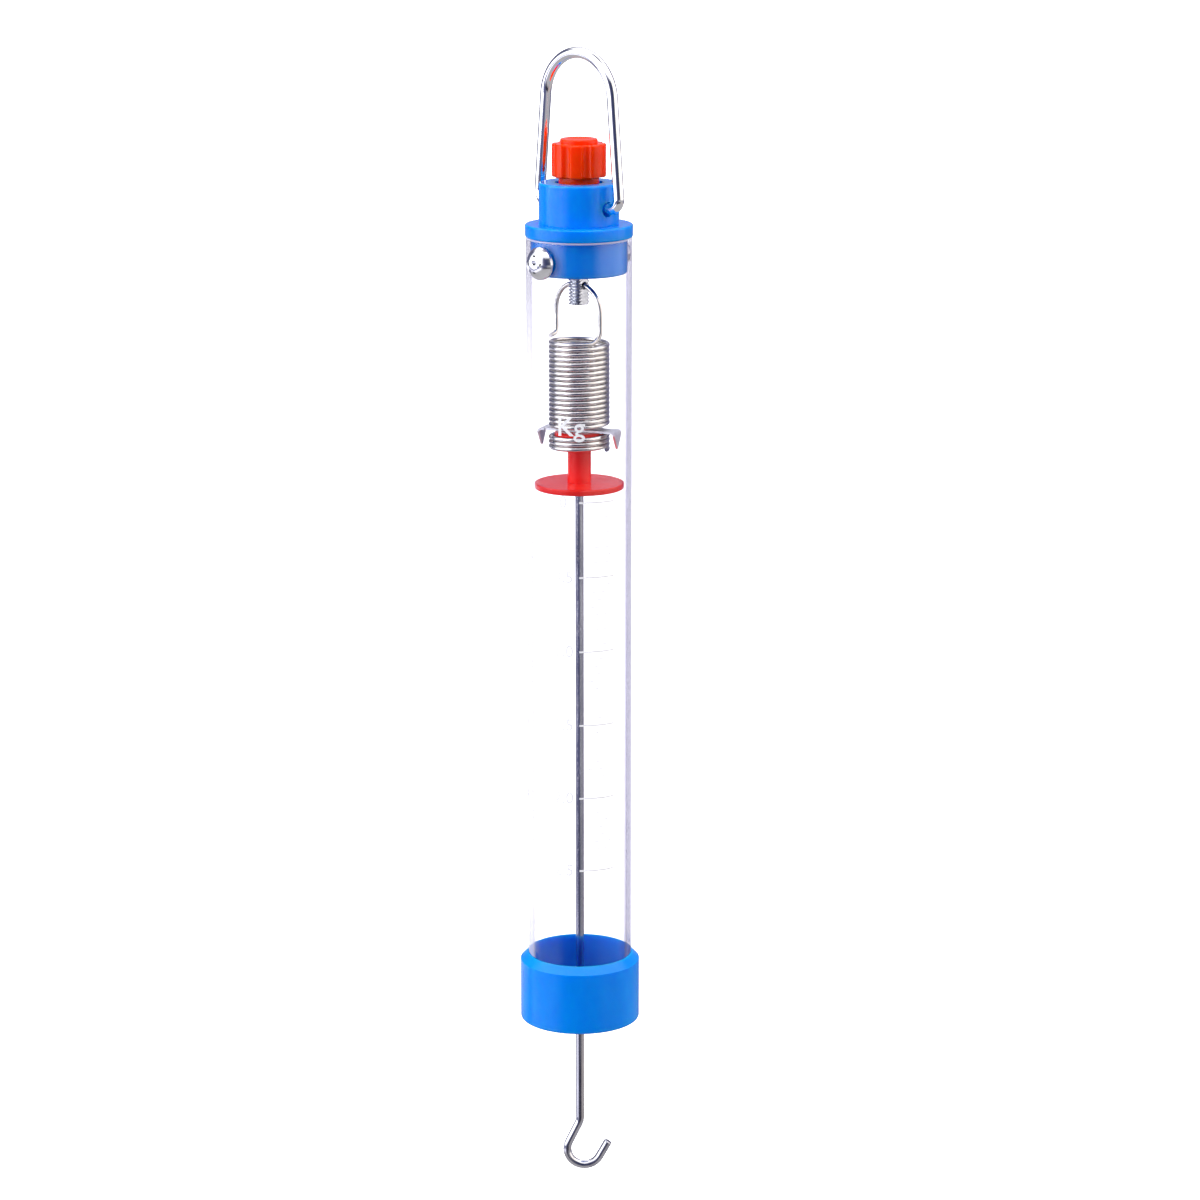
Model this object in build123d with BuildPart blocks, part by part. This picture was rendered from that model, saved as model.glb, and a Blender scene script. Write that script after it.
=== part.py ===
from build123d import *

import os
from math import cos, radians, sin, tan

# Hanging spring scale: a clear tube with a spring and an indicator inside, hung from a wire loop
# and loaded at a wire hook. Millimetres, +Z up. The origin is the underside of the loop's crown,
# where a peg or hook carries the scale. X is the axis of the loop's two pivot pins, and the cap
# screw with the printed scale beside it faces -Y.

os.makedirs("parts", exist_ok=True)

# Driving dimensions
tube_r = 12.5
tube_wall = 1.1
tube_length = 189.5
joint_gap = 0.05  # between pieces that are glued, pressed or screwed together

loop_wire_r = 1.32
loop_crown_r = 10.8
loop_drop = 34.0  # from the underside of the crown down to the pivot axis
loop_foot_x = 13.0
loop_foot_bend = 2.4
loop_flare = 5.1  # degrees that each leg leans outwards

pivot_over_flange = 4.3
boss_r = 9.4
boss_height = 9.7
flange_r = 12.65
flange_thick = 3.0
spigot_depth = 8.5
spigot_bore_r = 8.3
pin_hole_r = 1.75
pin_hole_drop = 0.25  # the pins bear on the top of larger holes
pin_hole_end = 5.9
socket_r = 5.6
socket_depth = 3.0

knob_r = 6.35
knob_grooves = 8
groove_depth = 0.75
groove_angle = -29.3  # of the first groove, from the pivot axis
knob_height = 7.8
knob_gap = 1.25  # between the knob's skirt and the boss
knob_neck_r = 4.75
knob_dish_r = 4.4
knob_dish_height = 1.1
nut_flats = 8.0
nut_thick = 4.0

stud_r = 2.5
stud_flat = 1.75  # from the axis to the flat
stud_slide_gap = 0.06
stud_length = 34.9

screw_r = 1.95
screw_drop = 5.1  # below the flange
screw_head_r = 3.85
screw_head_height = 2.3
screw_length = 5.0

spring_r = 6.7  # to the centre of the wire
spring_wire_r = 0.55
spring_pitch = 1.125
spring_top_z = -65.9
spring_loop_r = 6.9
spring_loop_z = -52.5  # centre of the wire at the top of the loop
plate_z = -87.1
plate_thick = 0.5
plate_half_span = 9.7
plate_width = 5.0
plate_angle = 24.0  # from the pivot axis
barb_drop = 4.1

indicator_r = 10.6
indicator_thick = 1.4
indicator_top_z = -99.75
collar_r = 5.8
collar_height = 2.9
neck_r = 2.8

rod_r = 1.02
rod_thread_r = 0.98
rod_thread_below = 2.0
rod_hole_r = 1.5
hook_angle = 44.0  # of the hook's plane from the pivot axis
hook_centre_u = 1.05
hook_centre_z = -267.6
hook_r = 4.2
hook_lean = 64.0  # degrees, of the run into the bowl
hook_tip_lean = 61.0
hook_tip_length = 4.6

foot_r = 14.45
foot_height = 16.7
foot_floor = 2.1
foot_chamfer = 1.75

# Levels that follow from them
pivot_z = -loop_drop
flange_z = pivot_z - pivot_over_flange
boss_z = flange_z + boss_height
tube_z = flange_z - flange_thick
spigot_z = tube_z - spigot_depth
socket_z = boss_z - socket_depth
screw_z = tube_z - screw_drop
tube_end_z = tube_z - tube_length
foot_z = tube_end_z - foot_floor
knob_z = boss_z + knob_gap
knob_top_z = knob_z + knob_height
bore_r = tube_r - tube_wall
spigot_r = bore_r - joint_gap


def level(height):
    """Horizontal plane at a height."""
    return Plane.XY.offset(height)


def turned_plane(angle, height=0.0):
    """Horizontal plane whose X points at an angle from the pivot axis."""
    direction = (cos(radians(angle)), sin(radians(angle)), 0)
    return Plane(origin=(0, 0, height), x_dir=direction, z_dir=(0, 0, 1))


def upright_plane(angle):
    """Plane through the vertical axis: its X is horizontal at an angle from the pivot axis, its Y is up."""
    direction = (cos(radians(angle)), sin(radians(angle)), 0)
    return Plane(origin=(0, 0, 0), x_dir=direction, z_dir=(direction[1], -direction[0], 0))


def save(piece, label):
    """Labels a finished piece and writes it."""
    piece.part.label = label
    export_step(piece.part, f"parts/{label}.step")


# Suspension loop: one bent wire, its ends are the pivot pins
crown_z = loop_wire_r - loop_crown_r
shoulder = (
    loop_crown_r * cos(radians(loop_flare)),
    crown_z + loop_crown_r * sin(radians(loop_flare)),
)
pin_end_x = pin_hole_end + 0.5

with BuildLine(Plane.XZ) as loop_path:
    loop_leg = FilletPolyline((pin_end_x, pivot_z), (loop_foot_x, pivot_z), shoulder, radius=loop_foot_bend)
    CenterArc((0, crown_z), loop_crown_r, loop_flare, 180 - 2 * loop_flare)
    mirror(loop_leg, about=Plane.YZ)

with BuildPart() as suspension_loop:
    with BuildSketch(Plane(origin=(pin_end_x, 0, pivot_z), z_dir=(1, 0, 0))):
        Circle(loop_wire_r)
    sweep(path=loop_path.wire())
save(suspension_loop, "suspension_loop")

# Zero knob: grooved grip, dished top and a neck that turns in the top cap's socket
groove_r = 1.35
stud_clear_r = stud_r + 0.3
nut_z = knob_z + 1.2
cavity_z = knob_top_z - 1.0

with BuildPart() as zero_knob:
    with BuildSketch(level(knob_z)) as grip:
        Circle(knob_r)
        with PolarLocations(knob_r - groove_depth + groove_r, knob_grooves, start_angle=groove_angle):
            Circle(groove_r, mode=Mode.SUBTRACT)
        fillet(grip.vertices(), 0.3)
    extrude(amount=knob_height)
    fillet(zero_knob.faces().sort_by(Axis.Z)[-1].edges(), 0.4)
    chamfer(zero_knob.faces().sort_by(Axis.Z)[0].edges(), 0.3)
    with BuildSketch(level(knob_top_z - 0.5)):
        Circle(knob_dish_r)
    extrude(amount=knob_dish_height + 0.5)
    rim = zero_knob.faces().sort_by(Axis.Z)[-1].edges()
    fillet(rim, 0.45)
    with BuildSketch(level(socket_z + joint_gap)):
        Circle(knob_neck_r)
    extrude(until=Until.NEXT)
    dish_ball_r = 14.0
    with Locations((0, 0, knob_top_z + knob_dish_height + dish_ball_r - 0.45)):
        Sphere(dish_ball_r, mode=Mode.SUBTRACT)
    with BuildSketch(level(nut_z - joint_gap / 2)):
        RegularPolygon(nut_flats / 2 + joint_gap / 2, 6, major_radius=False)
    extrude(amount=nut_thick + joint_gap, mode=Mode.SUBTRACT)
    with BuildSketch(level(socket_z)):
        Circle(stud_clear_r)
    extrude(amount=cavity_z - socket_z, mode=Mode.SUBTRACT)
save(zero_knob, "zero_knob")

# Nut moulded into the knob, with running clearance on the stud
with BuildPart() as knob_nut:
    with BuildSketch(level(nut_z)):
        RegularPolygon(nut_flats / 2, 6, major_radius=False)
        Circle(stud_r + 0.05, mode=Mode.SUBTRACT)
    extrude(amount=nut_thick)
save(knob_nut, "knob_nut")

# Adjusting stud: D-shaped, with a cross hole for the spring's loop
stud_end_z = -57.3
cross_hole_r = 0.95
cross_hole_z = spring_loop_z - 0.25

with BuildPart() as adjusting_stud:
    with BuildSketch(level(stud_end_z)):
        Circle(stud_r)
        with Locations((stud_flat, 0)):
            Rectangle(stud_r, 2 * stud_r, align=(Align.MIN, Align.CENTER), mode=Mode.SUBTRACT)
    extrude(amount=stud_length)
    with BuildSketch(Plane.YZ):
        with Locations((0, cross_hole_z)):
            Circle(cross_hole_r)
    extrude(amount=2 * stud_r, both=True, mode=Mode.SUBTRACT)
    chamfer(adjusting_stud.faces().sort_by(Axis.Z)[0].edges().filter_by(GeomType.CIRCLE), 0.3)
save(adjusting_stud, "adjusting_stud")

# Top cap: boss and flange above the tube, spigot and guide hub inside it
hub_r = 4.6
hub_z = spigot_z + 3.0
hollow_z = tube_z - 1.2

with BuildPart() as top_cap:
    with BuildSketch(level(tube_z)):
        Circle(flange_r)
    extrude(amount=flange_thick)
    fillet(top_cap.edges().filter_by(GeomType.CIRCLE), 0.4)
    with BuildSketch(level(flange_z)):
        Circle(boss_r)
    extrude(amount=boss_height)
    fillet(top_cap.faces().sort_by(Axis.Z)[-1].edges(), 0.5)
    with BuildSketch(level(tube_z)):
        Circle(spigot_r)
    extrude(amount=-spigot_depth)
    chamfer(top_cap.faces().sort_by(Axis.Z)[0].edges(), 0.4)
    with BuildSketch(level(spigot_z)):
        Circle(spigot_bore_r)
    extrude(amount=hollow_z - spigot_z, mode=Mode.SUBTRACT)
    with BuildSketch(level(hub_z)):
        Circle(hub_r)
    extrude(amount=hollow_z - hub_z)
    with BuildSketch(level(boss_z)):
        Circle(socket_r)
    extrude(amount=-socket_depth, mode=Mode.SUBTRACT)
    with BuildSketch(level(hub_z)):
        Circle(stud_r + stud_slide_gap)
        with Locations((stud_flat + stud_slide_gap, 0)):
            Rectangle(stud_r, 3 * stud_r, align=(Align.MIN, Align.CENTER), mode=Mode.SUBTRACT)
    extrude(amount=socket_z - hub_z, mode=Mode.SUBTRACT)
    with BuildSketch(Plane.YZ.offset(pin_hole_end), Plane.YZ.offset(-boss_r - 1)):
        with Locations((0, pivot_z - pin_hole_drop)):
            Circle(pin_hole_r)
    extrude(amount=boss_r + 1 - pin_hole_end, mode=Mode.SUBTRACT)
    with BuildSketch(Plane.XZ):
        with Locations((0, screw_z)):
            Circle(screw_r + joint_gap)
    extrude(amount=tube_r, both=True, mode=Mode.SUBTRACT)
save(top_cap, "top_cap")

# Tube, with a hole each side for the cap screws
with BuildPart() as tube:
    with BuildSketch(level(tube_end_z)):
        Circle(tube_r)
        Circle(bore_r, mode=Mode.SUBTRACT)
    extrude(amount=tube_length)
    with BuildSketch(Plane.XZ):
        with Locations((0, screw_z)):
            Circle(screw_r + 2 * joint_gap)
    extrude(amount=2 * tube_r, both=True, mode=Mode.SUBTRACT)
save(tube, "tube")


# Cap screws: pan heads with a cross recess, one each side of the cap
seat_y = -tube_r - joint_gap
head_round = (0.74 * screw_head_r, 0.82 * screw_head_height)
recess_start = (0, seat_y - screw_head_height - 0.1, screw_z)
recess_plane = Plane(origin=recess_start, x_dir=(1, 0, 0), z_dir=(0, 1, 0))

with BuildPart() as cap_screws:
    with BuildSketch(Plane(origin=(0, seat_y, screw_z), x_dir=(1, 0, 0), z_dir=(0, 0, -1))):
        with BuildLine():
            Polyline((0, screw_head_height), (0, -screw_length), (screw_r - 0.6, -screw_length))
            Polyline((screw_r - 0.6, -screw_length), (screw_r, -screw_length + 0.8), (screw_r, 0))
            Polyline((screw_r, 0), (screw_head_r, 0), (screw_head_r, 0.7))
            ThreePointArc((screw_head_r, 0.7), head_round, (0, screw_head_height))
        make_face()
    revolve(axis=Axis((0, seat_y, screw_z), (0, -1, 0)))
    with BuildSketch(recess_plane):
        Rectangle(4.4, 0.95)
        Rectangle(0.95, 4.4)
    extrude(amount=1.7, taper=14, mode=Mode.SUBTRACT)
    mirror(about=Plane.XZ)
save(cap_screws, "cap_screws")

# Spring: close-wound turns, a crossing that lets the anchor plate through, and a raised top loop
lower_turns = 3.1
lower_top_z = plate_z - 1.05
lower_z = lower_top_z - lower_turns * spring_pitch
crossing_start = 64.0  # degrees from the pivot axis, on the side away from the plate's ends
crossing_end = 166.0
upper_z = plate_z + 1.1
upper_end = 335.0
upper_height = spring_top_z - upper_z
part_turn = (upper_end - crossing_end) / 360
upper_turns = round(upper_height / spring_pitch - part_turn) + part_turn
loop_leg_x = spring_loop_r + 0.6  # the leg with the free end stands further out
leg_foot_z = spring_loop_z - 10.6
crossing_steps = 7


def around(angle, radius, height):
    """Point at an angle from the pivot axis."""
    return (radius * cos(radians(angle)), radius * sin(radians(angle)), height)


def crossing_point(share):
    """Point of the wire where it steps over the plate's level, its ends as flat as the turns."""
    eased = share * share * (3 - 2 * share)
    angle = crossing_start + share * (crossing_end - crossing_start)
    return around(angle, spring_r, lower_top_z + eased * (upper_z - lower_top_z))


lower_coil = turned_plane(crossing_start - 360 * lower_turns, lower_z) * Helix(
    spring_pitch, lower_turns * spring_pitch, spring_r
)
upper_coil = turned_plane(crossing_end, upper_z) * Helix(upper_height / upper_turns, upper_height, spring_r)

with BuildLine() as crossing_path:
    crossing = [crossing_point(step / crossing_steps) for step in range(crossing_steps + 1)]
    Spline(*crossing, tangents=(lower_coil % 1, upper_coil % 0))

with BuildLine() as loop_wire:
    Spline(upper_coil @ 1, (spring_loop_r, 0, leg_foot_z), tangents=(upper_coil % 1, (0, 0, 1)))
    FilletPolyline(
        (spring_loop_r, 0, leg_foot_z),
        (spring_loop_r, 0, spring_loop_z),
        (-loop_leg_x, 0, spring_loop_z),
        (-loop_leg_x, 0, leg_foot_z),
        radius=(spring_loop_r - 0.2, loop_leg_x - 1.2),
    )
    Spline(
        (-loop_leg_x, 0, leg_foot_z),
        around(200, loop_leg_x, spring_top_z + 0.8),
        tangents=((0, 0, -1), (0.3, -0.93, -0.2)),
    )

wire_stretches = (
    (Wire([lower_coil]), True),
    (crossing_path.wire(), False),
    (Wire([upper_coil]), True),
    (loop_wire.wire(), False),
)

with BuildPart() as spring:
    for stretch, is_helix in wire_stretches:
        with BuildSketch(Plane(origin=stretch @ 0, z_dir=stretch % 0)):
            Circle(spring_wire_r)
        sweep(path=stretch, is_frenet=is_helix)
save(spring, "spring")

# Anchor plate: a strip between the spring's turns, its ends bent down to barbs outside them
strip_width = 4.2
strip_half_span = 8.0
barb_bend = 0.9
plate_top_z = plate_z + plate_thick / 2
barb_z = plate_z - barb_drop

with BuildPart() as anchor_plate:
    with BuildSketch(upright_plane(plate_angle)):
        with BuildLine():
            FilletPolyline(
                (-plate_half_span, barb_z),
                (-plate_half_span, plate_top_z),
                (plate_half_span, plate_top_z),
                (plate_half_span, barb_z),
                radius=barb_bend,
            )
            offset(amount=plate_thick, side=Side.RIGHT)
        make_face()
    extrude(amount=plate_width / 2, both=True)
    with BuildSketch(upright_plane(plate_angle + 90)):
        for side in (-1, 1):
            with BuildLine():
                Polyline(
                    (side * plate_width / 2, plate_top_z - barb_bend),
                    (side * plate_width, plate_top_z - barb_bend),
                    (side * plate_width, barb_z - 1),
                    (side * 0.2, barb_z - 1),
                    (side * 0.2, barb_z),
                    close=True,
                )
            make_face()
    extrude(amount=plate_half_span + 1, both=True, mode=Mode.SUBTRACT)
    with BuildSketch(turned_plane(plate_angle, plate_z)):
        for side in (-1, 1):
            with Locations((0, side * strip_width / 2)):
                Rectangle(
                    2 * strip_half_span,
                    plate_width,
                    align=(Align.CENTER, Align.MIN if side > 0 else Align.MAX),
                )
        Circle(rod_thread_r + joint_gap)
    extrude(amount=plate_thick, both=True, mode=Mode.SUBTRACT)
save(anchor_plate, "anchor_plate")

# Indicator: reading disc, neck, and a collar that fills the spring's last turns
collar_z = plate_z - plate_thick / 2 - joint_gap
disc_z = indicator_top_z - indicator_thick

with BuildPart() as indicator:
    with BuildSketch(level(disc_z)):
        Circle(indicator_r)
    extrude(amount=indicator_thick)
    fillet(indicator.edges(), 0.3)
    with BuildSketch(level(indicator_top_z)):
        Circle(neck_r)
    extrude(amount=collar_z - indicator_top_z)
    with BuildSketch(level(collar_z)):
        Circle(collar_r)
    extrude(amount=-collar_height)
    chamfer(indicator.faces().sort_by(Axis.Z)[-1].edges(), 0.3)
    with BuildSketch(level(disc_z)):
        Circle(rod_thread_r + joint_gap)
    extrude(amount=collar_z - disc_z, mode=Mode.SUBTRACT)
save(indicator, "indicator")

# Pull rod: threaded at the top, bent to a hook at the bottom
rod_top_z = plate_top_z + 2.2
thread_end_z = disc_z - rod_thread_below
lean = radians(hook_lean)
tip_lean = radians(hook_tip_lean)
bowl_start = (hook_centre_u - hook_r * sin(lean), hook_centre_z + hook_r * cos(lean))
bend_z = bowl_start[1] - bowl_start[0] * tan(lean)
bowl_end = (hook_centre_u + hook_r * sin(tip_lean), hook_centre_z - hook_r * cos(tip_lean))
tip = (bowl_end[0] + hook_tip_length * cos(tip_lean), bowl_end[1] + hook_tip_length * sin(tip_lean))
shank_bend_r = 4.5

with BuildLine(upright_plane(hook_angle)) as rod_path:
    FilletPolyline((0, thread_end_z), (0, bend_z), bowl_start, radius=shank_bend_r)
    CenterArc((hook_centre_u, hook_centre_z), hook_r, 90 + hook_lean, 90 + hook_tip_lean + (90 - hook_lean))
    Line(bowl_end, tip)

with BuildPart() as pull_rod:
    with BuildSketch(level(thread_end_z)):
        Circle(rod_r)
    sweep(path=rod_path.wire())
    tip_face = pull_rod.faces().filter_by(GeomType.PLANE).sort_by(Axis.Z)[0]
    fillet(tip_face.edges(), 0.4)
    with BuildSketch(level(thread_end_z)):
        Circle(rod_thread_r)
    extrude(amount=rod_top_z - thread_end_z)
save(pull_rod, "pull_rod")

# Nut that clamps the anchor plate and the indicator on the rod
rod_nut_flats = 4.0
rod_nut_thick = 1.6

with BuildPart() as rod_nut:
    with BuildSketch(level(plate_top_z)):
        RegularPolygon(rod_nut_flats / 2, 6, major_radius=False)
        Circle(rod_thread_r + joint_gap, mode=Mode.SUBTRACT)
    extrude(amount=rod_nut_thick)
save(rod_nut, "rod_nut")

# Bottom cap: a cup on the tube's end with a hole for the rod
with BuildPart() as bottom_cap:
    with BuildSketch(level(foot_z)):
        Circle(foot_r)
    extrude(amount=foot_height)
    chamfer(bottom_cap.faces().sort_by(Axis.Z)[-1].edges(), foot_chamfer)
    fillet(bottom_cap.faces().sort_by(Axis.Z)[0].edges(), 0.6)
    with BuildSketch(level(tube_end_z)):
        Circle(tube_r + joint_gap)
    extrude(amount=foot_height, mode=Mode.SUBTRACT)
    with BuildSketch(level(foot_z)):
        Circle(rod_hole_r)
    extrude(amount=foot_floor, mode=Mode.SUBTRACT)
save(bottom_cap, "bottom_cap")
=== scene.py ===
import math

import bmesh
import bpy
from mathutils import Matrix, Vector


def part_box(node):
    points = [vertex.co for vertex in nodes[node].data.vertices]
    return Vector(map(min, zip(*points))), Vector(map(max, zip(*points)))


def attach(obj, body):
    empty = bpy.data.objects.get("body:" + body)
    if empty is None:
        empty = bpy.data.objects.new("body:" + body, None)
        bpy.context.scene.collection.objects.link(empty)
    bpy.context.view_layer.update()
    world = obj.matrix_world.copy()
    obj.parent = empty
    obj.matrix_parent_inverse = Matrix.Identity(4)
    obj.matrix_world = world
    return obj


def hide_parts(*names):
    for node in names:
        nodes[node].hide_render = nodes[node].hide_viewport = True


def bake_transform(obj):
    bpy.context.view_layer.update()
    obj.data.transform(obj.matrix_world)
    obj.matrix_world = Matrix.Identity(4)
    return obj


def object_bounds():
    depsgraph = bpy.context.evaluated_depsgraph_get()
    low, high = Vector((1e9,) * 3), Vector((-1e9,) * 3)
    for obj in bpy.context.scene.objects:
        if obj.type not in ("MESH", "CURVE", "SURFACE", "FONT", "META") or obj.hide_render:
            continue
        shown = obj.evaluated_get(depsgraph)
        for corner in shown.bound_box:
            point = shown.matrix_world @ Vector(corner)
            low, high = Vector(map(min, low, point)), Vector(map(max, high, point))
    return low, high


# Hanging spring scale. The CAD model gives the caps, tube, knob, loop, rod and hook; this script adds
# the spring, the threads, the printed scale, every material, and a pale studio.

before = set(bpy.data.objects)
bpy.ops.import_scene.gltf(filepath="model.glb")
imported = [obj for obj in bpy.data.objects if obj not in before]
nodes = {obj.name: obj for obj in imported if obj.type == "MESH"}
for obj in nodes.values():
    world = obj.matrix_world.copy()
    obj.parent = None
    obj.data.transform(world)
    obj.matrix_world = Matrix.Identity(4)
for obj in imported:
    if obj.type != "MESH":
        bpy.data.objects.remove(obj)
cad_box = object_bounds()
scene = bpy.context.scene
MM = 0.001


def turned(angle, radius, height):
    """Point at an angle in degrees from the loop's pivot axis."""
    around = math.radians(angle)
    return Vector((radius * math.cos(around), radius * math.sin(around), height))


def mesh_object(name, mesh, smooth_angle=30):
    """Object in the scene, smooth except at its real edges."""
    mesh.name = name
    mesh.shade_smooth()
    mesh.set_sharp_from_angle(angle=math.radians(smooth_angle))
    piece = bpy.data.objects.new(name, mesh)
    scene.collection.objects.link(piece)
    return piece


# ---------------------------------------------------------------- view and light

VIEW_AZIMUTH = 44.0  # degrees round the object, the side that the camera stands on
VIEW_DISTANCE = 0.883
VIEW_HEIGHT = 0.0786
VIEW_ASIDE = 0.0049
VIEW_PITCH = 13.2  # degrees that it looks down
VIEW_LENS = 114.0
FLOOR_GAP = 0.22  # from the lowest point of the hook to the floor

toward = Vector((math.sin(math.radians(VIEW_AZIMUTH)), -math.cos(math.radians(VIEW_AZIMUTH)), 0))
aside = Vector((-toward.y, toward.x, 0))

camera_data = bpy.data.cameras.new("camera")
camera_data.lens = VIEW_LENS
camera_data.sensor_width = 36.0
camera = bpy.data.objects.new("camera", camera_data)
scene.collection.objects.link(camera)
camera.location = toward * VIEW_DISTANCE + aside * VIEW_ASIDE + Vector((0, 0, VIEW_HEIGHT))
camera.rotation_euler = (math.radians(90 - VIEW_PITCH), 0, math.radians(VIEW_AZIMUTH))
scene.camera = camera
scene.view_settings.view_transform = "Standard"


def grey(value):
    return (value, value, value)


def link(tree, source, target):
    tree.links.new(source, target)


def ramp(tree, stops, factor):
    """Colour ramp from (place, colour) stops."""
    node = tree.nodes.new("ShaderNodeValToRGB")
    elements = node.color_ramp.elements
    while len(elements) < len(stops):
        elements.new(0.5)
    for element, (place, colour) in zip(elements, sorted(stops)):
        element.position = place
        element.color = (*colour, 1)
    link(tree, factor, node.inputs["Fac"])
    return node.outputs["Color"]


# Light round the object, by degrees to the right of the camera: HORIZON level with the object, BELOW
# from about 9 degrees under that, and LOWEST from about 19 degrees under.
HORIZON = (
    (-180, (0.40, 0.40, 0.50)),
    (-160, (0.20, 0.20, 0.30)),
    (-112, (0.08, 0.09, 0.18)),
    (-103, (1.60, 1.65, 1.80)),
    (-95, (3.20, 3.25, 3.40)),
    (-52, (3.20, 3.25, 3.40)),
    (-26, (0.12, 0.12, 0.24)),
    (0, (0.04, 0.05, 0.12)),
    (30, (0.06, 0.07, 0.13)),
    (54, (1.95, 1.84, 1.70)),
    (104, (1.95, 1.84, 1.70)),
    (122, (0.26, 0.25, 0.38)),
    (152, (0.18, 0.17, 0.28)),
    (180, (0.40, 0.40, 0.50)),
)
BELOW = (
    (-180, (1.30, 1.30, 1.40)),
    (-124, (1.40, 1.40, 1.50)),
    (-112, (0.45, 0.47, 0.62)),
    (-96, (0.20, 0.21, 0.38)),
    (-20, (0.11, 0.12, 0.23)),
    (0, (0.13, 0.14, 0.25)),
    (14, (0.46, 0.46, 0.50)),
    (104, (0.46, 0.46, 0.50)),
    (118, (0.10, 0.09, 0.20)),
    (158, (0.10, 0.09, 0.20)),
    (174, (0.80, 0.80, 0.92)),
    (180, (1.30, 1.30, 1.40)),
)
LOWEST = (
    (-180, (0.55, 0.55, 0.66)),
    (-114, (0.14, 0.14, 0.26)),
    (-100, (1.60, 1.60, 1.85)),
    (-52, (1.60, 1.60, 1.85)),
    (-34, (0.20, 0.20, 0.30)),
    (-20, (0.03, 0.03, 0.05)),
    (34, (0.03, 0.03, 0.05)),
    (50, (0.54, 0.49, 0.48)),
    (140, (0.54, 0.49, 0.48)),
    (156, (0.26, 0.24, 0.30)),
    (180, (0.55, 0.55, 0.66)),
)
OVERHEAD = (2.4, 2.4, 2.45)
ZENITH = (0.35, 0.35, 0.42)
UNDERFOOT = (0.50, 0.49, 0.52)
BRIGHTEST = 5.0
CAMERA_WHITE = 1.1
# Heights where one light gives way to the next, from 0 straight down to 1 straight up
LOWEST_TO_BELOW = (0.333, 0.347)
BELOW_TO_HORIZON = (0.414, 0.432)
TO_OVERHEAD = (0.76, 0.90)
TO_ZENITH = (0.975, 0.985)
TO_UNDERFOOT = (0.29, 0.24)


def round_about(tree, angle, stops):
    """Light by direction round the object, from (degrees, colour) stops."""
    shares = [(degrees / 360 + 0.5, [part / BRIGHTEST for part in colour]) for degrees, colour in stops]
    return ramp(tree, shares, angle)


def reached(tree, span, factor):
    """Goes from 0 to 1 as a factor goes from the first to the second end of a span."""
    start, end = span
    return ramp(tree, [(start, grey(0)), (end, grey(1))], factor)


def mixed(tree, factor, first, second):
    """Colour that goes from the first to the second with a factor."""
    node = tree.nodes.new("ShaderNodeMix")
    node.data_type = "RGBA"
    link(tree, factor, node.inputs["Factor"])
    link(tree, first, node.inputs["A"])
    if isinstance(second, tuple):
        node.inputs["B"].default_value = (*second, 1)
    else:
        link(tree, second, node.inputs["B"])
    return node.outputs["Result"]


def studio():
    """White where the camera sees past the object; round it, soft boxes with dark gaps between them."""
    world = bpy.data.worlds.new("studio")
    scene.world = world
    world.use_nodes = True
    tree = world.node_tree
    tree.nodes.clear()
    place = tree.nodes.new("ShaderNodeTexCoord")
    turn = tree.nodes.new("ShaderNodeMapping")
    turn.inputs["Rotation"].default_value = (0, 0, math.radians(90 - VIEW_AZIMUTH))
    link(tree, place.outputs["Generated"], turn.inputs["Vector"])
    angle = tree.nodes.new("ShaderNodeTexGradient")
    angle.gradient_type = "RADIAL"
    link(tree, turn.outputs["Vector"], angle.inputs["Vector"])
    split = tree.nodes.new("ShaderNodeSeparateXYZ")
    link(tree, place.outputs["Generated"], split.inputs["Vector"])
    height = tree.nodes.new("ShaderNodeMapRange")
    height.inputs["From Min"].default_value = -1.0
    link(tree, split.outputs["Z"], height.inputs["Value"])

    lowest = round_about(tree, angle.outputs["Fac"], LOWEST)
    below = round_about(tree, angle.outputs["Fac"], BELOW)
    level = round_about(tree, angle.outputs["Fac"], HORIZON)
    off_floor = reached(tree, LOWEST_TO_BELOW, height.outputs["Result"])
    lifted = reached(tree, BELOW_TO_HORIZON, height.outputs["Result"])
    around = mixed(tree, lifted, mixed(tree, off_floor, lowest, below), level)
    for colour, span in ((OVERHEAD, TO_OVERHEAD), (ZENITH, TO_ZENITH), (UNDERFOOT, TO_UNDERFOOT)):
        share = reached(tree, span, height.outputs["Result"])
        around = mixed(tree, share, around, tuple(part / BRIGHTEST for part in colour))

    lit = tree.nodes.new("ShaderNodeBackground")
    lit.inputs["Strength"].default_value = BRIGHTEST
    link(tree, around, lit.inputs["Color"])
    white = tree.nodes.new("ShaderNodeBackground")
    white.inputs["Color"].default_value = (1, 1, 1, 1)
    white.inputs["Strength"].default_value = CAMERA_WHITE
    ray = tree.nodes.new("ShaderNodeLightPath")
    mix = tree.nodes.new("ShaderNodeMixShader")
    link(tree, ray.outputs["Is Camera Ray"], mix.inputs["Fac"])
    link(tree, lit.outputs["Background"], mix.inputs[1])
    link(tree, white.outputs["Background"], mix.inputs[2])
    out = tree.nodes.new("ShaderNodeOutputWorld")
    link(tree, mix.outputs["Shader"], out.inputs["Surface"])


studio()


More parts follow.
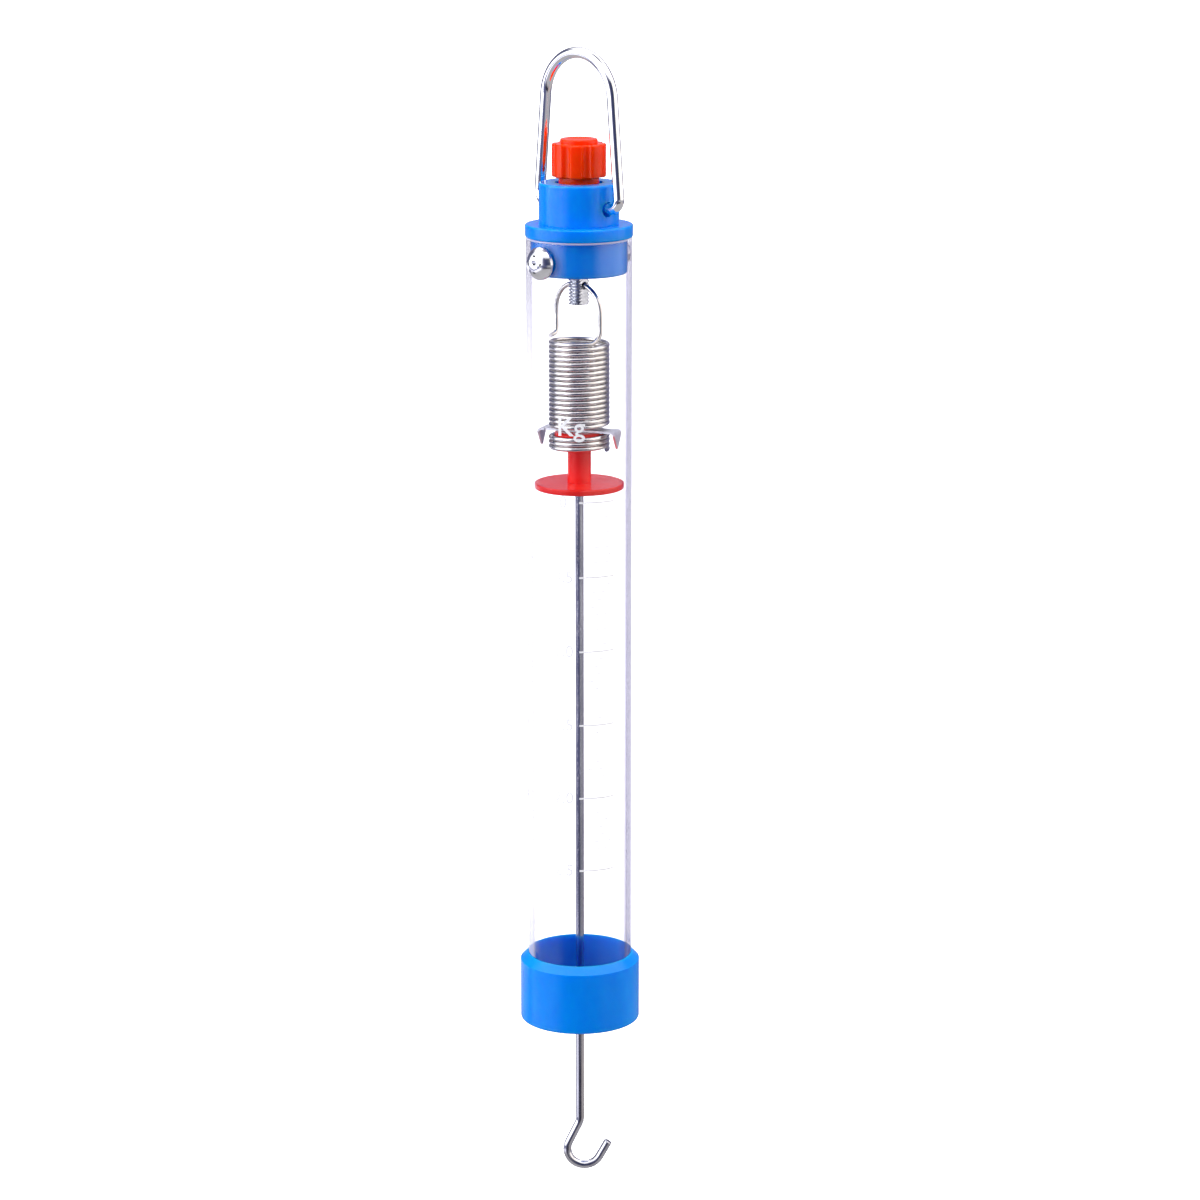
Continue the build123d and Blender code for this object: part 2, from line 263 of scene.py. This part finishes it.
def lit_floor():
    """Pale floor that glows like a product table; it neither lights the object nor shows in its gloss."""
    size = 14.0
    glow = 0.75
    mesh = bpy.data.meshes.new("floor")
    low = cad_box[0].z - FLOOR_GAP
    corners = [(-size, -size, low), (size, -size, low), (size, size, low), (-size, size, low)]
    mesh.from_pydata(corners, [], [(0, 1, 2, 3)])
    floor = bpy.data.objects.new("floor", mesh)
    scene.collection.objects.link(floor)
    material = bpy.data.materials.new("floor")
    material.use_nodes = True
    shader = material.node_tree.nodes["Principled BSDF"]
    shader.inputs["Base Color"].default_value = (0.8, 0.8, 0.8, 1)
    shader.inputs["Roughness"].default_value = 0.9
    shader.inputs["Emission Color"].default_value = (1, 1, 1, 1)
    shader.inputs["Emission Strength"].default_value = glow
    mesh.materials.append(material)
    floor.visible_glossy = False
    floor.visible_diffuse = False


lit_floor()

# ---------------------------------------------------------------- materials


def principled(name, colour, roughness, **settings):
    """Material with one Principled shader; settings are its sockets by name, with _ for spaces."""
    material = bpy.data.materials.new(name)
    material.use_nodes = True
    tree = material.node_tree
    shader = tree.nodes["Principled BSDF"]
    shader.inputs["Base Color"].default_value = (*colour, 1)
    shader.inputs["Roughness"].default_value = roughness
    for setting, value in settings.items():
        shader.inputs[setting.replace("_", " ")].default_value = value
    return material, tree, shader


NOISE_ROUGHNESS = 0.6
NOISE_SPAN = (0.35, 0.65)  # the part of the noise's range that a colour or roughness varies over


def noise(tree, scale, stretch=(1, 1, 1), detail=4.0):
    """Noise over the piece itself, in cycles a millimetre, stretched along its axes."""
    place = tree.nodes.new("ShaderNodeTexCoord")
    mapping = tree.nodes.new("ShaderNodeMapping")
    mapping.inputs["Scale"].default_value = [scale / MM * s for s in stretch]
    texture = tree.nodes.new("ShaderNodeTexNoise")
    texture.inputs["Scale"].default_value = 1.0
    texture.inputs["Detail"].default_value = detail
    texture.inputs["Roughness"].default_value = NOISE_ROUGHNESS
    link(tree, place.outputs["Object"], mapping.inputs["Vector"])
    link(tree, mapping.outputs["Vector"], texture.inputs["Vector"])
    return texture.outputs["Fac"]


def vary_colour(tree, shader, factor, dark, light):
    low, high = NOISE_SPAN
    link(tree, ramp(tree, [(low, dark), (high, light)], factor), shader.inputs["Base Color"])


def vary_roughness(tree, shader, factor, smooth, rough, span=NOISE_SPAN):
    low, high = span
    stops = [(low, grey(smooth)), (high, grey(rough))]
    link(tree, ramp(tree, stops, factor), shader.inputs["Roughness"])


def bump(tree, shader, height, depth_mm):
    node = tree.nodes.new("ShaderNodeBump")
    node.inputs["Strength"].default_value = 1.0
    node.inputs["Distance"].default_value = depth_mm * MM
    link(tree, height, node.inputs["Height"])
    link(tree, node.outputs["Normal"], shader.inputs["Normal"])


def moulded_plastic(name, dark, light, roughness, gloss, subsurface, glow, depth_mm):
    """Moulded plastic: slight flow marks, fine orange peel, and light that soaks in to about depth_mm."""
    material, tree, shader = principled(
        name,
        light,
        roughness,
        IOR=1.5,
        Specular_IOR_Level=gloss,
        Subsurface_Weight=subsurface,
        Subsurface_Radius=glow,
        Subsurface_Scale=depth_mm * MM,
    )
    vary_colour(tree, shader, noise(tree, 0.12, (1, 1, 0.5)), dark, light)
    vary_roughness(tree, shader, noise(tree, 0.5), roughness - 0.03, roughness + 0.03)
    bump(tree, shader, noise(tree, 0.45, detail=2.0), 0.004)
    return material


def metal(name, dark, light, smooth, rough, grain=(1, 1, 1), grain_scale=1.5, grain_depth=0.006):
    """Plated or bare metal: cloudy tone, drawn or ground grain."""
    material, tree, shader = principled(name, light, smooth, Metallic=1.0)
    vary_colour(tree, shader, noise(tree, 0.35, grain), dark, light)
    vary_roughness(tree, shader, noise(tree, 0.8, grain), smooth, rough)
    bump(tree, shader, noise(tree, grain_scale, grain, detail=3.0), grain_depth)
    return material


# What the clear tube tints and how much it shines, by how far its wall is seen side on, from 0 to 1
TUBE_TINTS = [(0.0, (0.990, 0.990, 1.0)), (0.48, (0.98, 0.98, 0.99)), (0.60, (0.93, 0.92, 0.96))]
TUBE_SHEENS = [
    (0.0, grey(0.03)),
    (0.36, grey(0.05)),
    (0.50, grey(0.12)),
    (0.60, grey(0.52)),
    (1.0, grey(0.56)),
]
TUBE_WALL = (11.8, 12.2)  # radius in mm where the bore's surface gives way to the outside's
BORE_SHEEN = 0.2  # how much of the sheen the bore has
CUT_END = (0.55, 0.25)  # mm under the tube's top where the frosting of its sawn end starts and is full
FROSTING = 0.55


def clear_plastic(name):
    """Clear extruded tube: sheen and tint gather towards its edges; its sawn top end is frosted."""
    material, tree, shader = principled(name, (0.93, 0.93, 0.96), 0.03, Metallic=1.0)
    vary_roughness(tree, shader, noise(tree, 0.25, (1, 1, 0.2)), 0.02, 0.07, (0.45, 0.75))
    bump(tree, shader, noise(tree, 0.35, (1, 1, 0.02), detail=3.0), 0.02)
    side_on = tree.nodes.new("ShaderNodeLayerWeight")
    side_on.inputs["Blend"].default_value = 0.5
    through = tree.nodes.new("ShaderNodeBsdfTransparent")
    link(tree, ramp(tree, TUBE_TINTS, side_on.outputs["Facing"]), through.inputs["Color"])
    sheen = ramp(tree, TUBE_SHEENS, side_on.outputs["Facing"])
    place = tree.nodes.new("ShaderNodeTexCoord")
    level = tree.nodes.new("ShaderNodeVectorMath")
    level.operation = "MULTIPLY"
    level.inputs[1].default_value = (1, 1, 0)
    link(tree, place.outputs["Object"], level.inputs[0])
    radius = tree.nodes.new("ShaderNodeVectorMath")
    radius.operation = "LENGTH"
    link(tree, level.outputs["Vector"], radius.inputs[0])
    outside = tree.nodes.new("ShaderNodeMapRange")
    outside.inputs["From Min"].default_value = TUBE_WALL[0] * MM
    outside.inputs["From Max"].default_value = TUBE_WALL[1] * MM
    outside.inputs["To Min"].default_value = BORE_SHEEN
    link(tree, radius.outputs["Value"], outside.inputs["Value"])
    share = tree.nodes.new("ShaderNodeMath")
    share.operation = "MULTIPLY"
    link(tree, sheen, share.inputs[0])
    link(tree, outside.outputs["Result"], share.inputs[1])
    mix = tree.nodes.new("ShaderNodeMixShader")
    link(tree, share.outputs["Value"], mix.inputs["Fac"])
    link(tree, through.outputs["BSDF"], mix.inputs[1])
    link(tree, shader.outputs["BSDF"], mix.inputs[2])
    height = tree.nodes.new("ShaderNodeSeparateXYZ")
    link(tree, place.outputs["Object"], height.inputs["Vector"])
    cut_end = tree.nodes.new("ShaderNodeMapRange")
    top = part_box("tube")[1].z
    cut_end.inputs["From Min"].default_value = top - CUT_END[0] * MM
    cut_end.inputs["From Max"].default_value = top - CUT_END[1] * MM
    cut_end.inputs["To Max"].default_value = FROSTING
    link(tree, height.outputs["Z"], cut_end.inputs["Value"])
    frosted = tree.nodes.new("ShaderNodeBsdfDiffuse")
    frosted.inputs["Color"].default_value = (0.78, 0.80, 0.95, 1)
    ended = tree.nodes.new("ShaderNodeMixShader")
    link(tree, cut_end.outputs["Result"], ended.inputs["Fac"])
    link(tree, mix.outputs["Shader"], ended.inputs[1])
    link(tree, frosted.outputs["BSDF"], ended.inputs[2])
    link(tree, ended.outputs["Shader"], tree.nodes["Material Output"].inputs["Surface"])
    return material


def printed_ink(name):
    """Screen-printed white ink, thin and slightly uneven."""
    material, tree, shader = principled(name, (0.95, 0.95, 0.96), 0.5, IOR=1.45)
    vary_colour(tree, shader, noise(tree, 2.0), (0.90, 0.90, 0.92), (0.98, 0.98, 0.99))
    vary_roughness(tree, shader, noise(tree, 3.0), 0.4, 0.6)
    bump(tree, shader, noise(tree, 6.0, detail=2.0), 0.004)
    return material


blue_plastic = moulded_plastic(
    "blue_plastic",
    dark=(0.0, 0.240, 0.85),
    light=(0.001, 0.275, 0.91),
    roughness=0.14,
    gloss=0.22,
    subsurface=0.75,
    glow=(0.05, 0.5, 1.0),
    depth_mm=4.5,
)
red_knob = moulded_plastic(
    "red_knob",
    dark=(0.95, 0.034, 0.0),
    light=(0.99, 0.048, 0.0),
    roughness=0.12,
    gloss=0.16,
    subsurface=0.60,
    glow=(1.0, 0.3, 0.05),
    depth_mm=4.0,
)
red_indicator = moulded_plastic(
    "red_indicator",
    dark=(0.84, 0.014, 0.007),
    light=(0.92, 0.026, 0.012),
    roughness=0.20,
    gloss=0.36,
    subsurface=0.30,
    glow=(1.0, 0.2, 0.1),
    depth_mm=2.0,
)
# Metals: darker and lighter tone, least and most roughness, the grain's stretch, scale and depth in mm
chrome_wire = metal(
    "chrome_wire", grey(0.82), (0.90, 0.90, 0.92), 0.05, 0.12, (1, 1, 0.3), 1.0, 0.003
)
chrome_screw = metal(
    "chrome_screw", grey(0.80), (0.92, 0.92, 0.93), 0.12, 0.22, (1, 1, 1), 0.9, 0.03
)
plated_steel = metal("plated_steel", (0.50, 0.52, 0.56), (0.70, 0.71, 0.75), 0.18, 0.32)
spring_steel = metal(
    "spring_steel", (0.60, 0.57, 0.55), (0.78, 0.75, 0.72), 0.16, 0.26, (1, 1, 4), 1.2, 0.004
)
plate_steel = metal(
    "plate_steel", (0.82, 0.82, 0.86), (0.95, 0.95, 0.97), 0.40, 0.52, (3, 1, 1), 1.2, 0.008
)
rod_steel = metal(
    "rod_steel", (0.42, 0.42, 0.46), (0.66, 0.65, 0.68), 0.10, 0.20, (1, 1, 0.15), 2.0, 0.006
)
clear_tube = clear_plastic("clear_plastic")
white_ink = printed_ink("white_ink")

NODE_MATERIALS = {
    "suspension_loop": chrome_wire,
    "zero_knob": red_knob,
    "knob_nut": plated_steel,
    "top_cap": blue_plastic,
    "tube": clear_tube,
    "cap_screws": chrome_screw,
    "anchor_plate": plate_steel,
    "indicator": red_indicator,
    "pull_rod": rod_steel,
    "rod_nut": plated_steel,
    "bottom_cap": blue_plastic,
}
for node, material in NODE_MATERIALS.items():
    for slot in nodes[node].material_slots:
        slot.material = material

# ---------------------------------------------------------------- wires and threads


def wire_mesh(path, radius, sides):
    """Closed round wire along a path, its rings carried along without twist; returns the mesh."""
    mesh = bpy.data.meshes.new("wire")
    work = bmesh.new()
    ahead = (path[1] - path[0]).normalized()
    across = ahead.orthogonal().normalized()
    rings = []
    for index, point in enumerate(path):
        before = path[max(index - 1, 0)]
        after = path[min(index + 1, len(path) - 1)]
        ahead = (after - before).normalized()
        across = (across - ahead * across.dot(ahead)).normalized()
        up = ahead.cross(across)
        ring = []
        for side in range(sides):
            angle = 2 * math.pi * side / sides
            out = across * math.cos(angle) + up * math.sin(angle)
            ring.append(work.verts.new(point + out * radius))
        rings.append(ring)
    for first, second in zip(rings, rings[1:]):
        for side in range(sides):
            after = (side + 1) % sides
            work.faces.new((first[side], first[after], second[after], second[side]))
    work.faces.new(list(reversed(rings[0])))
    work.faces.new(rings[-1])
    bmesh.ops.recalc_face_normals(work, faces=work.faces)
    work.to_mesh(mesh)
    work.free()
    return mesh


def curve_between(start, start_way, end, end_way, steps):
    """Points of a smooth curve between two ends with given directions, without its first point."""
    reach = (end - start).length
    a, b = start_way.normalized() * reach, end_way.normalized() * reach
    points = []
    for step in range(1, steps + 1):
        t = step / steps
        points.append(
            start * (2 * t**3 - 3 * t**2 + 1)
            + a * (t**3 - 2 * t**2 + t)
            + end * (3 * t**2 - 2 * t**3)
            + b * (t**3 - t**2)
        )
    return points


# Spring, close to the CAD model's: millimetres and degrees
SPRING_R = 6.7
WIRE_R = 0.55
LOWER_TURNS = 3.1
LOWER_PITCH = 1.125
CROSSING = (64.0, 166.0)  # where the wire steps over the anchor plate's level
UPPER_END = 335.0
UPPER_TURNS = 17.47
UPPER_HEIGHT = 20.1
STEP_HEIGHT = 2.15
EASED_TURNS = 0.3  # at each end of the upper turns, over which the stretching sets in
LOOP_R = 6.9  # from the axis to the right leg
LOOP_LEG = 7.5  # from the axis to the left leg
LOOP_BEND = (6.7, 6.3)  # bend radius at the top, right and left
LOOP_FOOT = 10.6  # from the loop's top down to the foot of its right leg
LEFT_FOOT_DROP = 0.9  # how much lower the left leg's foot is
TAIL_ANGLE = 200.0
TAIL_RISE = 0.7  # above the last turn
TAIL_WAY = (0.3, -0.93, -0.2)
RINGS_PER_TURN = 44
RINGS_PER_BEND = 20
RINGS_PER_FOOT = 14
RINGS_PER_TAIL = 10
WIRE_SIDES = 14


def spring_path():
    """The wire's centre line from its lower end to its tail, and how far each point follows the load."""
    points, follow = [], []
    low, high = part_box("spring")
    bottom = low.z / MM + WIRE_R
    top = high.z / MM - WIRE_R
    lower_top = bottom + LOWER_TURNS * LOWER_PITCH
    upper_start = lower_top + STEP_HEIGHT
    coil_top = upper_start + UPPER_HEIGHT

    def add(point, share):
        points.append(point * MM)
        follow.append(share)

    steps = round(LOWER_TURNS * RINGS_PER_TURN)
    for step in range(steps):
        part = step / steps
        angle = CROSSING[0] - 360 * LOWER_TURNS * (1 - part)
        add(turned(angle, SPRING_R, bottom + part * LOWER_TURNS * LOWER_PITCH), 1.0)

    steps = round((CROSSING[1] - CROSSING[0]) / 360 * RINGS_PER_TURN)
    for step in range(steps):
        part = step / steps
        eased = part * part * (3 - 2 * part)
        angle = CROSSING[0] + part * (CROSSING[1] - CROSSING[0])
        add(turned(angle, SPRING_R, lower_top + eased * STEP_HEIGHT), 1.0)

    steps = round(UPPER_TURNS * RINGS_PER_TURN)
    ease = EASED_TURNS / UPPER_TURNS
    for step in range(steps + 1):
        part = step / steps
        if part < ease:
            stretched = part * part / (2 * ease)
        elif part > 1 - ease:
            stretched = 1 - ease - (1 - part) ** 2 / (2 * ease)
        else:
            stretched = part - ease / 2
        angle = CROSSING[1] + part * 360 * UPPER_TURNS
        height = upper_start + part * UPPER_HEIGHT
        add(turned(angle, SPRING_R, height), 1 - stretched / (1 - ease))

    end = points[-1] / MM
    way = turned(UPPER_END + 90, 1.0, 0.03)
    foot = Vector((LOOP_R, 0, top - LOOP_FOOT))
    rise = Vector((0, 0, 1))
    for point in curve_between(end, way, foot, rise, RINGS_PER_FOOT):
        add(point, 0.0)
    right, left = LOOP_BEND
    for step in range(RINGS_PER_BEND + 1):
        angle = math.radians(90 * step / RINGS_PER_BEND)
        x = LOOP_R - right + right * math.cos(angle)
        add(Vector((x, 0, top - right + right * math.sin(angle))), 0.0)
    for step in range(1, RINGS_PER_BEND + 1):
        angle = math.radians(90 + 90 * step / RINGS_PER_BEND)
        x = -LOOP_LEG + left + left * math.cos(angle)
        add(Vector((x, 0, top - left + left * math.sin(angle))), 0.0)
    left_foot = Vector((-LOOP_LEG, 0, top - LOOP_FOOT - LEFT_FOOT_DROP))
    add(left_foot, 0.0)
    tail = turned(TAIL_ANGLE, LOOP_LEG, coil_top + TAIL_RISE)
    for point in curve_between(left_foot, -rise, tail, Vector(TAIL_WAY), RINGS_PER_TAIL):
        add(point, 0.0)
    return points, follow


def make_spring():
    """Spring between the stud, which holds its loop, and the anchor plate below."""
    path, follow = spring_path()
    wire = wire_mesh(path, WIRE_R * MM, WIRE_SIDES)
    spring = mesh_object("coil_spring", wire, smooth_angle=50)
    spring.data.materials.append(spring_steel)
    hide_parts("spring")
    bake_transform(spring)


ROWS_PER_PITCH = 8


def threaded_mesh(low, high, crest, root, pitch, flat, per_turn):
    """Threaded rod: a helical ridge between root and crest radius in mm, cut to a flat at x = flat."""
    mesh = bpy.data.meshes.new("thread")
    work = bmesh.new()
    rows = round((high - low) / pitch * ROWS_PER_PITCH)
    rings = []
    for row in range(rows + 1):
        height = low + (high - low) * row / rows
        inset = 0.5 * (crest - root) if row in (0, rows) else 0.0
        ring = []
        for step in range(per_turn):
            angle = 2 * math.pi * step / per_turn
            phase = (height / pitch - step / per_turn) % 1.0
            ridge = min(max(abs(phase - 0.5) * 4 - 0.5, 0.0), 1.0)
            radius = root + (crest - root) * ridge - inset
            x = min(radius * math.cos(angle), flat)
            ring.append(work.verts.new((x * MM, radius * math.sin(angle) * MM, height * MM)))
        rings.append(ring)
    for first, second in zip(rings, rings[1:]):
        for step in range(per_turn):
            after = (step + 1) % per_turn
            work.faces.new((first[step], first[after], second[after], second[step]))
    work.faces.new(list(reversed(rings[0])))
    work.faces.new(rings[-1])
    work.to_mesh(mesh)
    work.free()
    return mesh


def drill(piece, centre, along, radius, length):
    """Cuts a round hole through a piece and leaves it in the mesh."""
    mesh = bpy.data.meshes.new("drill")
    work = bmesh.new()
    turn = along.to_track_quat("Z", "Y").to_matrix().to_4x4()
    bmesh.ops.create_cone(
        work, segments=40, radius1=radius, radius2=radius, depth=length, cap_ends=True,
        matrix=Matrix.Translation(centre) @ turn,
    )
    work.to_mesh(mesh)
    work.free()
    cutter = bpy.data.objects.new("drill", mesh)
    scene.collection.objects.link(cutter)
    cut = piece.modifiers.new("hole", "BOOLEAN")
    cut.operation = "DIFFERENCE"
    cut.solver = "EXACT"
    cut.object = cutter
    bpy.context.view_layer.update()
    graph = bpy.context.evaluated_depsgraph_get()
    drilled = bpy.data.meshes.new_from_object(piece.evaluated_get(graph))
    piece.modifiers.clear()
    piece.data = drilled
    bpy.data.objects.remove(cutter)


STUD_PITCH = 0.8
STUD_DEPTH = 0.43
STUD_FLAT = 1.75  # from the axis
STUD_HOLE_R = 0.95
STUD_HOLE_DROP = 0.25  # of the hole's centre under the loop's wire
STUD_SMOOTH_ANGLE = 30


def make_stud():
    """Screw thread on the adjusting stud, with its flat and the hole for the spring's loop."""
    low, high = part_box("adjusting_stud")
    crest = high.y / MM
    root = crest - STUD_DEPTH
    mesh = threaded_mesh(low.z / MM, high.z / MM, crest, root, STUD_PITCH, STUD_FLAT, per_turn=40)
    stud = mesh_object("threaded_stud", mesh, STUD_SMOOTH_ANGLE)
    wire_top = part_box("spring")[1].z - WIRE_R * MM
    hole = Vector((0, 0, wire_top - STUD_HOLE_DROP * MM))
    drill(stud, hole, Vector((1, 0, 0)), STUD_HOLE_R * MM, length=8 * MM)
    stud.data.shade_smooth()
    stud.data.set_sharp_from_angle(angle=math.radians(STUD_SMOOTH_ANGLE))
    stud.data.materials.clear()
    stud.data.materials.append(plated_steel)
    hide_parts("adjusting_stud")
    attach(stud, "carrier")


ROD_THREAD_PITCH = 0.4
ROD_THREAD_LENGTH = 1.9
ROD_THREAD_CREST = 1.13
ROD_THREAD_ROOT = 0.99
NO_FLAT = 2.0  # outside the thread, so it stays round


def make_rod_thread():
    """Rolled thread on the rod, where it shows under the reading disc."""
    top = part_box("indicator")[0].z / MM
    low = top - ROD_THREAD_LENGTH
    crest, root = ROD_THREAD_CREST, ROD_THREAD_ROOT
    mesh = threaded_mesh(low, top, crest, root, ROD_THREAD_PITCH, NO_FLAT, per_turn=28)
    thread = mesh_object("rod_thread", mesh)
    thread.data.materials.append(rod_steel)
    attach(thread, "plunger")


make_spring()
make_stud()
make_rod_thread()

# ---------------------------------------------------------------- printed scale

# Millimetres, and degrees from the pivot axis
TUBE_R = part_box("tube")[1].x / MM
INK_GAP = 0.015
INK_THICK = 0.03
ZERO_Z = -102.3
MARKS = 51  # of each scale, the zero with them
KG_MARK = 0.05
KG_STEP = 1.798  # along the tube for one kilogram mark
NEWTON_MARK = 0.5
KG_PER_NEWTON = 0.10197
LONG_MARK = 0.42  # how thick the marks with numbers are
SHORT_MARK = 0.26
CENTRE = VIEW_AZIMUTH - 90  # middle of the front
# Where the marks start and end round the tube from CENTRE: with a number, every second, every other
KG_MARKS = ((0, 40), (9, 36), (18, 36))
NEWTON_MARKS = ((-74, -30), (-70, -39), (-70, -50))
KG_NUMBERS = -17.5
NEWTON_NUMBERS = -88
NUMBER_SIZE = 4.1
KG_UNIT = -9
UNIT_RISE = 17.8  # above the zero marks
UNIT_SIZE = 6.2
BOLDNESS = 0.01  # of the size


def wrapped(x, height, lift):
    """Point of the print: x in mm round the tube from an angle of 0, lift above the tube."""
    radius = (TUBE_R + INK_GAP + lift) * MM
    angle = x / TUBE_R
    return Vector((radius * math.cos(angle), radius * math.sin(angle), height * MM))


def printed_bar(work, from_angle, to_angle, height, thick):
    """One tick of the scale, along the tube's curve."""
    facet_angle = 2.5
    steps = max(round(abs(to_angle - from_angle) / facet_angle), 1)
    rings = []
    for step in range(steps + 1):
        angle = from_angle + (to_angle - from_angle) * step / steps
        x = math.radians(angle) * TUBE_R
        corners = ((-0.5, 0), (0.5, 0), (0.5, 1), (-0.5, 1))
        points = [wrapped(x, height + a * thick, b * INK_THICK) for a, b in corners]
        rings.append([work.verts.new(point) for point in points])
    for first, second in zip(rings, rings[1:]):
        for side in range(4):
            after = (side + 1) % 4
            work.faces.new((first[side], second[side], second[after], first[after]))
    work.faces.new(rings[0])
    work.faces.new(list(reversed(rings[-1])))


def printed_text(work, text, angle, height, size):
    """Numbers or a unit, wrapped round the tube; angle and height are of its middle."""
    curve = bpy.data.curves.new("text", "FONT")
    curve.body = text
    curve.size = size
    curve.align_x = "CENTER"
    curve.align_y = "CENTER"
    curve.resolution_u = 3
    curve.offset = BOLDNESS * size
    curve.extrude = INK_THICK / 2
    words = bpy.data.objects.new("text", curve)
    scene.collection.objects.link(words)
    bpy.context.view_layer.update()
    graph = bpy.context.evaluated_depsgraph_get()
    flat = bpy.data.meshes.new_from_object(words.evaluated_get(graph))
    bpy.data.objects.remove(words)
    letters = bmesh.new()
    letters.from_mesh(flat)
    bmesh.ops.remove_doubles(letters, verts=letters.verts, dist=1e-5)
    reach = max(abs(v.co.x) for v in letters.verts)
    cut = -reach
    strip = 0.5
    while cut < reach:
        everything = letters.verts[:] + letters.edges[:] + letters.faces[:]
        bmesh.ops.bisect_plane(letters, geom=everything, plane_co=(cut, 0, 0), plane_no=(1, 0, 0))
        cut += strip
    middle = math.radians(angle) * TUBE_R
    for v in letters.verts:
        v.co = wrapped(middle + v.co.x, height + v.co.y, v.co.z + INK_THICK / 2)
    letters.to_mesh(flat)
    letters.free()
    work.from_mesh(flat)


def printed_mark(work, step, height, marks, number, number_angle):
    """One mark of a scale: every tenth is long and thick and has its number."""
    numbered, second, other = marks
    if step % 10 == 0:
        start, end = numbered
        printed_bar(work, CENTRE + start, CENTRE + end, height, LONG_MARK)
        printed_text(work, number, CENTRE + number_angle, height, NUMBER_SIZE)
    else:
        start, end = second if step % 2 == 0 else other
        printed_bar(work, CENTRE + start, CENTRE + end, height, SHORT_MARK)


def make_printed_scale():
    """Kilograms in front, newtons on the left: ticks, numbers and the two units."""
    mesh = bpy.data.meshes.new("print")
    work = bmesh.new()
    for step in range(MARKS):
        number = "0" if step == 0 else f"{step * KG_MARK:.1f}"
        printed_mark(work, step, ZERO_Z - step * KG_STEP, KG_MARKS, number, KG_NUMBERS)
    for step in range(MARKS):
        height = ZERO_Z - step * NEWTON_MARK * KG_PER_NEWTON * KG_STEP / KG_MARK
        printed_mark(work, step, height, NEWTON_MARKS, f"{step * NEWTON_MARK:.0f}", NEWTON_NUMBERS)
    printed_text(work, "Kg", CENTRE + KG_UNIT, ZERO_Z + UNIT_RISE, UNIT_SIZE)
    printed_text(work, "N", CENTRE + NEWTON_NUMBERS, ZERO_Z + UNIT_RISE, UNIT_SIZE)
    work.to_mesh(mesh)
    work.free()
    marks = mesh_object("printed_scale", mesh)
    marks.data.materials.append(white_ink)
    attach(marks, "housing")


make_printed_scale()
